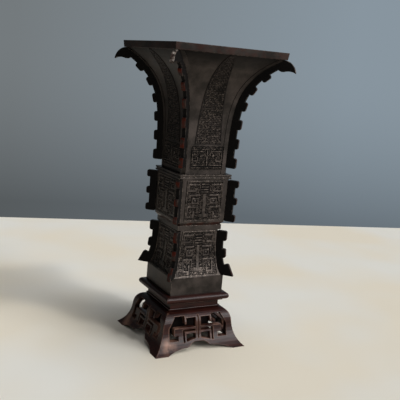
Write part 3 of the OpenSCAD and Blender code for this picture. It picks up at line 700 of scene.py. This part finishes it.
def polished_hardwood(colours, name, turn):
    """Dark reddish hardwood, oiled and rubbed to a soft shine: fine straight grain along the boards."""
    material, tree = new_material(name)
    place = add(tree, "ShaderNodeTexCoord").outputs["Object"]

    # Grain that is drawn out along the board, and coarser than real so that it shows
    turned = add(tree, "ShaderNodeMapping", {
        "Vector": place, "Rotation": (0, 0, turn), "Scale": (0.08, 1, 1)})
    grain = add(tree, "ShaderNodeTexNoise", {
        "Vector": turned, "Scale": per_mm(1.6), "Detail": 6.0, "Roughness": 0.6, "Distortion": 0.4})
    bands = add(tree, "ShaderNodeMapRange", {"Value": grain, "From Min": 0.36, "From Max": 0.64})
    body = add(tree, "ShaderNodeMix", {
        "Factor": bands, "A": colours.wood_dark[:], "B": colours.wood[:]}, data_type="RGBA")

    # Paler wood in patches where it is rubbed, and a painted highlight on the left legs
    worn = patches(tree, place, "wear_and_highlight", millimetres=11, detail=3.0, low=0.36, high=0.66, most=0.75)
    final = add(tree, "ShaderNodeMix", {
        "Factor": worn, "A": body, "B": colours.wood_worn_and_highlight[:]}, data_type="RGBA")

    bump = add(tree, "ShaderNodeBump", {"Height": grain, "Strength": 0.12, "Distance": 0.3 * MM})
    shader = add(tree, "ShaderNodeBsdfPrincipled", {
        "Base Color": final, "Roughness": 0.3, "Specular IOR Level": 0.17, "Normal": bump})
    add(tree, "ShaderNodeOutputMaterial", {"Surface": shader})
    return material


def shade_black_softwood(colours):
    """Plain softwood under a black stain, as inside a stand: matt and nearly black, a black that is partly
    painted shade inside the stand.
    """
    material, tree = new_material("black_softwood_painted_shade")
    shader = add(tree, "ShaderNodeBsdfPrincipled", {
        "Base Color": colours.lining[:], "Roughness": 0.9, "Specular IOR Level": 0.15})
    add(tree, "ShaderNodeOutputMaterial", {"Surface": shader})
    return material


def woven_cloth(colours):
    """Plain pale cotton on the floor: matt, a little uneven, and creamier in wide patches."""
    material, tree = new_material("pale_cotton_floor")
    place = add(tree, "ShaderNodeTexCoord").outputs["Object"]
    soft = add(tree, "ShaderNodeTexNoise", {"Vector": place, "Scale": per_mm(90), "Detail": 2.0})
    bump = add(tree, "ShaderNodeBump", {"Height": soft, "Strength": 0.2, "Distance": 6 * MM})
    wide = add(tree, "ShaderNodeTexNoise", {"Vector": place, "Scale": per_mm(220), "Detail": 2.0})
    cream = add(tree, "ShaderNodeMapRange", {"Value": wide, "From Min": 0.4, "From Max": 0.6})
    tone = add(tree, "ShaderNodeMix", {
        "Factor": cream, "A": colours.floor[:], "B": colours.floor_warm[:]}, data_type="RGBA")
    thrown = add(tree, "ShaderNodeMix", {
        "Factor": seen_directly(tree), "A": colours.floor_thrown[:], "B": tone}, data_type="RGBA")
    shader = add(tree, "ShaderNodeBsdfPrincipled", {
        "Base Color": thrown, "Roughness": 0.95, "Specular IOR Level": 0.1, "Normal": bump})
    add(tree, "ShaderNodeOutputMaterial", {"Surface": shader})
    return material


FINISHES = {}


def finish(name):
    """A finish by name, made when it is first asked for."""
    makers = {
        "bronze": (cast_bronze,),
        "wood_x": (polished_hardwood, "polished_hardwood_along_x", 0),
        "wood_y": (polished_hardwood, "polished_hardwood_along_y", QUARTER),
        "lining": (shade_black_softwood,),
        "floor": (woven_cloth,),
    }
    if name not in FINISHES:
        maker, *settings = makers[name]
        FINISHES[name] = maker(bpy.context.scene.zun_colours, *settings)
    return FINISHES[name]


# Operators

class ZUN_OT_castings(bpy.types.Operator):
    """Round and patinate the lip, neck, belly, foot and floor plate"""

    bl_idname = "zun.castings"
    bl_label = "Vessel castings"

    def execute(self, context):
        sizes = context.scene.zun_sizes
        dress("mouth_lip", sizes.cast_round, finish("bronze"), "vessel", self.mark_lip)
        for node_name, mark in (("neck_shell", self.mark_neck), ("belly_shell", self.mark_belly),
                                ("foot_shell", self.mark_foot)):
            dress(node_name, sizes.relief_round, finish("bronze"), "vessel", mark, True)
        paint_node("floor_plate", finish("bronze"))
        return {"FINISHED"}

    def mark_lip(self, bm):
        """Leaves the lip's edges only a little rubbed and its faces a little red."""
        wear_and_highlight, grime_and_shade, red = marks(bm)
        rubbed = bpy.context.scene.zun_wear
        for face in bm.faces:
            face[wear_and_highlight] *= rubbed.lip
            face[grime_and_shade] = rubbed.lip_grime
            face[red] = rubbed.lip_red

    def mark_neck(self, bm):
        """Paints shade on the neck close under the lip into the grime layer, in rings too narrow to be told
        apart.
        """
        reach = bpy.context.scene.zun_sizes.lip_shade
        rings = 20
        for ring in range(1, rings):
            cut(bm, bm.faces[:], (0, 0, LIP_Z - reach * ring / rings), (0, 0, 1))
        # Painted shade that fades downward from the lip
        grime_and_shade = marks(bm)[1]
        for face in bm.faces:
            below = (LIP_Z - face.calc_center_median().z) / reach
            face[grime_and_shade] = bpy.context.scene.zun_wear.neck_painted_shade * max(0.0, 1 - below)

    def mark_belly(self, bm):
        """Rubs the belly's mask and reddens its lower moulding."""
        scene = bpy.context.scene
        rub_mask(bm, belly_profile(scene.zun_sizes))
        red = marks(bm)[2]
        for face in bm.faces:
            if face.calc_center_median().z < DRUM_Z + scene.zun_sizes.moulding_h:
                face[red] = scene.zun_wear.moulding_red

    def mark_foot(self, bm):
        """Rubs the foot's mask."""
        rub_mask(bm, foot_profile(bpy.context.scene.zun_sizes))


class ZUN_OT_flanges(bpy.types.Operator):
    """Round and patinate the notched corner flanges"""

    bl_idname = "zun.flanges"
    bl_label = "Corner flanges"

    def execute(self, context):
        sizes = context.scene.zun_sizes
        for part in ("neck_flange", "belly_flange", "foot_flange"):
            for corner in CORNERS:
                dress(f"{part}_{corner}", sizes.flange_round, finish("bronze"), "vessel",
                      self.mark, False, self.round_teeth)
        return {"FINISHED"}

    def outward(self, bm):
        """The way a flange points."""
        middle = sum((vert.co for vert in bm.verts), Vector()) / len(bm.verts)
        return Vector((middle.x, middle.y, 0)).normalized()

    def broadside(self, outward):
        """The way across a flange's thickness."""
        return Vector((-outward.y, outward.x, 0))

    def round_teeth(self, bm):
        """Rounds the corners of the teeth, but not the points of the hook and the spur."""
        broad = self.broadside(self.outward(bm))
        corners = []
        for edge in sharp_edges(bm, False):
            run = (edge.verts[1].co - edge.verts[0].co).normalized()
            across = abs(run.dot(broad)) > RUNS_ACROSS
            if across and TOOTH_ANGLES[0] < edge.calc_face_angle() < TOOTH_ANGLES[1]:
                corners.append(edge)
        round_edges(bm, corners, bpy.context.scene.zun_sizes.tooth_round, 4)
        merge(bm, ROUND_GAP)

    def mark(self, bm):
        """Paints shade on the broad sides and into the notches of a flange, paints a glint on the ends of
        its hooks, and reddens the outer ends of its teeth.
        """
        wear_and_highlight, grime_and_shade, red = marks(bm)
        rubbed = bpy.context.scene.zun_wear
        hook_z = LIP_Z - bpy.context.scene.zun_sizes.hook_h
        outward = self.outward(bm)
        broad = self.broadside(outward)
        tooth_red = rubbed.handled_red if outward.x < 0 and outward.y < 0 else rubbed.tooth_red
        for face in bm.faces:
            # Notches and broad sides get painted shade in the grime layer
            notch = any(not edge.is_convex and edge.calc_face_angle(0) > NOTCH_ANGLE for edge in face.edges)
            dark = notch or abs(face.normal.dot(broad)) > LOOKS_BROAD
            face[grime_and_shade] = rubbed.notch_painted_shade if dark else rubbed.flange_grime
            end = face.normal.dot(outward) > LOOKS_OUT and not notch
            # The ends of the hooks get wear past 1, which paints a glint of bare metal
            hook = end and face.calc_center_median().z > hook_z
            face[wear_and_highlight] = rubbed.hook if hook else rubbed.flange * face[wear_and_highlight]
            if end:
                face[red] = rubbed.hook_red if hook else tooth_red


class ZUN_OT_neck_leaves(bpy.types.Operator):
    """Carve the tall blade leaf on each face of the neck"""

    bl_idname = "zun.neck_leaves"
    bl_label = "Neck leaves"

    # How fast a leaf narrows upward, and how its border's points crowd toward the tip
    narrowing = 0.36
    crowding = 1.6
    border_steps = 48
    # Cells less than this share of the border's width inside the outline are left out
    inner_share = 0.2
    # The border stands this share of a mask's rise over the fine lines
    border_share = 0.3

    def execute(self, context):
        sizes = context.scene.zun_sizes
        profile = FaceProfile("neck_shell", NECK_Z + sizes.leaf_low, LIP_Z - sizes.neck_end)
        height = profile.length - sizes.leaf_gap
        columns = 2 * round(sizes.leaf_half / sizes.cell) + 1
        rows = round(height / sizes.cell)

        def half_at(along):
            return sizes.leaf_half * max(1 - along / height, 0.0) ** self.narrowing

        def level_of(column, row):
            room = half_at((row + 0.5) * sizes.cell) - abs(column - columns // 2) * sizes.cell
            if room < sizes.leaf_line:
                return LOW if room > self.inner_share * sizes.leaf_line else None
            return spiral_level(column, row, columns)

        bm = carve(columns, rows, sizes.leaf_half, height, level_of, sizes)
        steps = [height * (1 - (1 - i / self.border_steps) ** self.crowding)
                 for i in range(self.border_steps + 1)]
        border_rise = sizes.line_rise + self.border_share * sizes.mask_rise
        for hand in (-1, 1):
            line = [(hand * max(half_at(along) - sizes.leaf_line / 2, 0.0), along) for along in steps]
            add_strip(bm, line, sizes.leaf_line, border_rise, sizes)
        base = [(-sizes.leaf_half, 0), (sizes.leaf_half, 0)]
        add_strip(bm, base, sizes.leaf_line, sizes.line_rise, sizes)
        bend_onto(bm, profile, sizes.sink, sizes)
        # Painted shade: the lines lose their shine close under the lip
        wear_and_highlight = bm.faces.layers.float["wear_and_highlight"]
        for face in bm.faces:
            face[wear_and_highlight] *= min(1.0, (LIP_Z - face.calc_center_median().z) / sizes.leaf_fade)
        on_four_sides("neck_leaf", bm)
        return {"FINISHED"}


class ZUN_OT_neck_panels(bpy.types.Operator):
    """Carve the pair of dragons under each leaf, and raise the strips along the neck's corners"""

    bl_idname = "zun.neck_panels"
    bl_label = "Neck panels"

    def execute(self, context):
        sizes = context.scene.zun_sizes
        low = NECK_Z + sizes.panel_low
        profile = FaceProfile("neck_shell", low, low + sizes.panel_h)
        columns = 2 * round(sizes.panel_half / sizes.cell) + 1
        rows = round(profile.length / sizes.cell)

        def level_of(column, row):
            x = ((column + 0.5) / columns - 0.5) * 2 * sizes.panel_half / MM
            z = ((row + 0.5) / rows - 0.5) * profile.length / MM
            if in_boxes(DRAGON, x, z):
                return HIGH
            if in_boxes(DRAGON, x, z, DRAGON_CLEAR):
                return LOW
            return spiral_level(column, row, columns)

        bm = carve(columns, rows, sizes.panel_half, profile.length, framed(level_of, columns, rows), sizes)
        bend_onto(bm, profile, sizes.sink, sizes)
        on_four_sides("neck_panel", bm)
        self.raise_borders(sizes)
        return {"FINISHED"}

    def raise_borders(self, sizes):
        """Two raised strips beside the corners of each neck face."""
        profile = FaceProfile("neck_shell", NECK_Z + sizes.neck_end, LIP_Z - sizes.neck_end)
        bm = bmesh.new()
        for hand in (-1, 1):
            made = bmesh.ops.create_grid(bm, x_segments=1, y_segments=60, size=0.5)["verts"]
            for vert in made:
                along = (vert.co.y + 0.5) * profile.length
                outer = -profile.at(along)[0][0] - sizes.border_in
                across = hand * outer + (vert.co.x - hand * 0.5) * sizes.border_w
                vert.co = (across, along, sizes.border_rise)
        bend_onto(bm, profile, sizes.sink + sizes.border_rise, sizes)
        on_four_sides("neck_border", bm)


class ZUN_OT_grounds(bpy.types.Operator):
    """Carve the fine lines round the masks on the belly and the foot, and set their pupils"""

    bl_idname = "zun.grounds"
    bl_label = "Mask grounds"

    def execute(self, context):
        sizes = context.scene.zun_sizes
        belly = carve_ground(belly_profile(sizes), DRUM_Z + sizes.belly_gap, SHOULDER_Z - sizes.belly_gap,
                             sizes.belly_w, 0, sizes)
        on_four_sides("belly_ground", belly)
        foot = carve_ground(foot_profile(sizes), FOOT_Z + sizes.foot_low, BELLY_Z - sizes.foot_gap,
                            sizes.foot_w, sizes.foot_spread, sizes)
        on_four_sides("foot_ground", foot)
        return {"FINISHED"}


class ZUN_OT_stand(bpy.types.Operator):
    """Round and polish the boards and rails of the stand"""

    bl_idname = "zun.stand"
    bl_label = "Hardwood stand"

    # Distance of the points along the worn edges
    edge_step = 0.3 * MM
    # Outer faces of the front board have a normal whose y is below this
    outside = -0.2

    def execute(self, context):
        sizes = context.scene.zun_sizes
        board = self.carve_board(sizes)
        for turn, side in enumerate(SIDES):
            wood = finish("wood_y" if turn % 2 else "wood_x")
            for part in ("edge_rail", "waist_rail"):
                dress(f"{part}_{side}", sizes.wood_round, wood, "stand", None, True)
            mesh = bpy.data.meshes.new(f"side_board_{side}_dressed")
            board.to_mesh(mesh)
            mesh.transform(Matrix.Rotation(QUARTER * turn, 4, "Z"))
            put_on(f"side_board_{side}", mesh, wood, "stand")
            # The lining's black is partly painted shade inside the stand
            paint_node(f"lining_board_{side}", finish("lining"))
        board.free()
        paint_node("top_panel", finish("wood_x"))
        paint_node("dowels", finish("wood_x"))
        # The corner blocks inside take the same black, partly painted shade
        for corner in CORNERS:
            paint_node(f"corner_block_{corner}", finish("lining"))
        return {"FINISHED"}

    def carve_board(self, sizes):
        """The front openwork board with its rounded edges, rubbed along them, and with a painted highlight
        on its left leg.
        """
        bm = copied("side_board_front")
        edges = sharp_edges(bm, True)
        near_edge = self.tree_along(edges)
        round_edges(bm, edges, sizes.wood_round)
        merge(bm, ROUND_GAP)
        self.cut_net(bm, sizes.wood_net)
        wear_and_highlight = bm.verts.layers.float.new("wear_and_highlight")
        # A painted highlight on the left leg, carried in the wear layer beside the rubbed edges
        patch = (-sizes.leg_highlight_x, sizes.leg_highlight_z)
        for vert in bm.verts:
            on_edge = 1 - near_edge.find(vert.co)[2] / sizes.wood_wear
            on_patch = 1 - math.dist((vert.co.x, vert.co.z), patch) / sizes.leg_highlight_r
            vert[wear_and_highlight] = max(0.0, on_edge, bpy.context.scene.zun_wear.leg * on_patch)
        return bm

    def tree_along(self, edges):
        """A search tree of points along edges."""
        spots = []
        for edge in edges:
            start, end = (vert.co.copy() for vert in edge.verts)
            steps = max(1, round((end - start).length / self.edge_step))
            spots += [start.lerp(end, i / steps) for i in range(steps + 1)]
        tree = KDTree(len(spots))
        for i, spot in enumerate(spots):
            tree.insert(spot, i)
        tree.balance()
        return tree

    def cut_net(self, bm, width):
        """Cuts the outside of the board into a fine net, which can carry the wear and the painted highlight.
        """
        bmesh.ops.triangulate(bm, faces=[face for face in bm.faces if len(face.verts) > 4])
        low, high = (Vector(corner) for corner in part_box("side_board_front"))
        for axis in (Vector((1, 0, 0)), Vector((0, 0, 1))):
            start, end = low.dot(axis), high.dot(axis)
            cuts = int((end - start) / width)
            for i in range(1, cuts):
                outer = [face for face in bm.faces if face.normal.y < self.outside]
                cut(bm, outer, axis * (start + (end - start) * i / cuts), axis)


class ZUN_OT_stage(bpy.types.Operator):
    """Lay the floor, light it and place the camera"""

    bl_idname = "zun.stage"
    bl_label = "Stage"

    # Where the background changes, as the part of the view's direction that points right or up
    dark_side = (-1.0, -0.35)
    wall_turn = (-0.28, 0.2)
    wall_foot = (-0.213, 0.02)
    # How much darker it is at its foot
    foot_dim = 0.46

    def execute(self, context):
        scene = context.scene
        stage = scene.zun_stage
        back = Vector((math.sin(stage.azimuth), -math.cos(stage.azimuth), 0))
        right = Vector((math.cos(stage.azimuth), math.sin(stage.azimuth), 0))
        up = Vector((0, 0, 1))
        self.lay_floor(scene, stage, back, right)
        self.hang(scene, "key", right * 0.95 + back * 0.55 + up * 1.4, 6, stage.key_light)
        self.hang(scene, "overhead", right * 0.12 + up, 30, stage.top_light)
        self.hang(scene, "side", right * 2.2 + back + up * 0.9, 34, stage.side_light)
        self.surround(scene, stage, right, up)
        self.place_camera(scene, stage, back, right, up)
        return {"FINISHED"}

    def lay_floor(self, scene, stage, back, right):
        """A pale floor whose straight far edge runs a little slantwise behind the object."""
        slant = Matrix.Rotation(stage.floor_slant, 3, "Z")
        ahead, aside = slant @ -back, slant @ right
        far, near, side = stage.floor_depth, -stage.floor_reach, stage.floor_reach
        bm = bmesh.new()
        bm.faces.new([bm.verts.new(aside * x + ahead * y)
                      for x, y in ((-side, far), (-side, near), (side, near), (side, far))])
        mesh = bpy.data.meshes.new("floor")
        bm.to_mesh(mesh)
        bm.free()
        mesh.materials.append(finish("floor"))
        floor = bpy.data.objects.new("floor", mesh)
        scene.collection.objects.link(floor)

    def hang(self, scene, name, toward, spread, strength):
        """A distant round lamp, which looks as many degrees wide as its spread."""
        lamp = bpy.data.lights.new(name, "SUN")
        lamp.angle = math.radians(spread)
        lamp.energy = strength
        hung = bpy.data.objects.new(name, lamp)
        hung.location = toward
        hung.rotation_euler = toward.to_track_quat("Z", "Y").to_euler()
        scene.collection.objects.link(hung)

    def surround(self, scene, stage, right, up):
        """A plain grey background, darker at its foot and far left, and a faint light from all round."""
        colours = scene.zun_colours
        world = bpy.data.worlds.new("surround")
        world.use_nodes = True
        tree = world.node_tree
        tree.nodes.clear()
        look = add(tree, "ShaderNodeTexCoord").outputs["Generated"]

        # Its colour, from left to right
        aside = add(tree, "ShaderNodeVectorMath", {0: look, 1: right}, operation="DOT_PRODUCT")
        across = add(tree, "ShaderNodeMapRange", {
            "Value": aside, "From Min": self.wall_turn[0], "From Max": self.wall_turn[1]})
        plain = add(tree, "ShaderNodeMix", {
            "Factor": across, "A": colours.wall_left[:], "B": colours.wall[:]}, data_type="RGBA")
        lit = add(tree, "ShaderNodeMapRange", {
            "Value": aside, "From Min": self.dark_side[0], "From Max": self.dark_side[1]})
        tint = add(tree, "ShaderNodeMix", {
            "Factor": lit, "A": colours.wall_dark[:], "B": plain}, data_type="RGBA")

        # Its strength, from the foot up
        rise = add(tree, "ShaderNodeVectorMath", {0: look, 1: up}, operation="DOT_PRODUCT")
        drop = add(tree, "ShaderNodeMapRange", {
            "Value": rise, "From Min": self.wall_foot[0], "From Max": self.wall_foot[1],
            "To Min": 1.0, "To Max": 0.0})
        fall = add(tree, "ShaderNodeMath", {0: drop, 1: 2.0}, operation="POWER")
        glow = add(tree, "ShaderNodeMath", {0: fall, 1: -self.foot_dim, 2: 1.0}, operation="MULTIPLY_ADD")

        wall = add(tree, "ShaderNodeBackground", {"Color": tint, "Strength": glow})
        soft = add(tree, "ShaderNodeBackground", {"Color": (1, 1, 1, 1), "Strength": stage.ambient})
        mixed = add(tree, "ShaderNodeMixShader", {0: seen_directly(tree), 1: soft, 2: wall})
        add(tree, "ShaderNodeOutputWorld", {"Surface": mixed})
        scene.world = world

    def place_camera(self, scene, stage, back, right, up):
        """The camera at the photograph's angle."""
        lens = bpy.data.cameras.new("camera")
        lens.sensor_fit = "HORIZONTAL"
        lens.sensor_width = 36
        lens.lens = stage.focal
        lens.clip_start = 10 * MM
        camera = bpy.data.objects.new("camera", lens)
        forward = -back * math.cos(stage.pitch) - up * math.sin(stage.pitch)
        level_up = right.cross(forward)
        across = right * math.cos(stage.roll) + level_up * math.sin(stage.roll)
        upward = -right * math.sin(stage.roll) + level_up * math.cos(stage.roll)
        turn = Matrix((across, upward, -forward)).transposed().to_4x4()
        spot = back * stage.distance + right * stage.aside + up * stage.height
        camera.matrix_world = Matrix.Translation(spot) @ turn
        scene.collection.objects.link(camera)
        scene.camera = camera
        scene.view_settings.view_transform = "Standard"


class ZUN_PT_panel(bpy.types.Panel):
    """Sidebar list of the zun's steps and settings"""

    bl_idname = "ZUN_PT_panel"
    bl_label = "Square bronze zun"
    bl_space_type = "VIEW_3D"
    bl_region_type = "UI"
    bl_category = "Zun"

    def draw(self, context):
        for operator in OPERATORS:
            self.layout.operator(operator.bl_idname)
        for group in SETTINGS:
            box = self.layout.box()
            for name in SETTINGS[group].__annotations__:
                box.prop(getattr(context.scene, group), name)


SETTINGS = {"zun_sizes": ZunSizes, "zun_wear": ZunWear, "zun_colours": ZunColours, "zun_stage": ZunStage}
OPERATORS = (ZUN_OT_castings, ZUN_OT_flanges, ZUN_OT_neck_leaves, ZUN_OT_neck_panels, ZUN_OT_grounds,
             ZUN_OT_stand, ZUN_OT_stage)
CLASSES = (*SETTINGS.values(), *OPERATORS, ZUN_PT_panel)


def register():
    """Registers the classes and hangs the settings on the scene."""
    for item in CLASSES:
        bpy.utils.register_class(item)
    for name, group in SETTINGS.items():
        setattr(bpy.types.Scene, name, PointerProperty(type=group))


def unregister():
    """Takes the settings and the classes away again."""
    for name in SETTINGS:
        delattr(bpy.types.Scene, name)
    for item in reversed(CLASSES):
        bpy.utils.unregister_class(item)


def main():
    """Registers the add-on and builds everything in order."""
    register()
    bpy.ops.zun.castings()
    bpy.ops.zun.flanges()
    bpy.ops.zun.neck_leaves()
    bpy.ops.zun.neck_panels()
    bpy.ops.zun.grounds()
    bpy.ops.zun.stand()
    bpy.ops.zun.stage()


if __name__ == "__main__":
    main()
